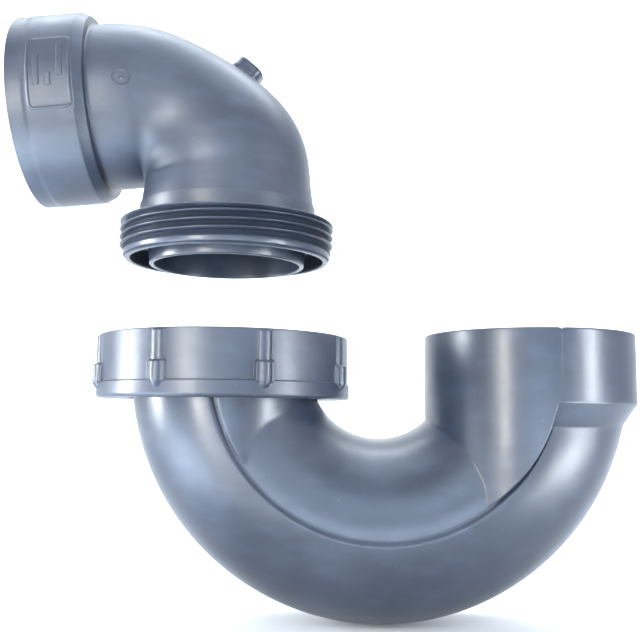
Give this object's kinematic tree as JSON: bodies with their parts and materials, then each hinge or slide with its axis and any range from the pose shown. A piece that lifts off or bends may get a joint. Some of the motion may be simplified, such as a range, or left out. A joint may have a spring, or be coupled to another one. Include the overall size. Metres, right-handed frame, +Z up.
{
  "type": "p trap",
  "caption": "Plastic P trap for a basin or sink waste, with its union undone: an elbow with a threaded ring above a U bend that carries a loose slip nut.",
  "frame": {"origin": "the middle of the mouth of the elbow's outlet hub, which the drain pipe holds", "axes": "+Z up, as the trap is fitted. The U bend and the elbow lie in the XZ plane, with the outlet towards -X and the inlet hub towards +X"},
  "size_m": [0.1709, 0.069, 0.1682],
  "materials": {
    "abs": "satin moulded, near black with a blue cast",
    "rubber": "matt black"
  },
  "bodies": {
    "elbow": {"trap_elbow": "abs"},
    "gasket": {"union_gasket": "rubber"},
    "bend": {"union_collar": "abs", "trap_bend": "abs"},
    "nut": {"slip_nut": "abs"}
  },
  "joints": [
    {"name": "union_lift", "type": "slide", "parent": "elbow", "child": "gasket", "axis": [0, 0, 1], "range_m": [0, 0.0286]},
    {"name": "bend_swivel", "type": "hinge", "parent": "gasket", "child": "bend", "pos_m": [0.0557, 0, -0.0722], "axis": [0, 0, 1], "continuous": true},
    {"name": "nut_spin", "type": "hinge", "parent": "bend", "child": "nut", "pos_m": [0.0557, 0, -0.0722], "axis": [0, 0, 1], "continuous": true}
  ]
}
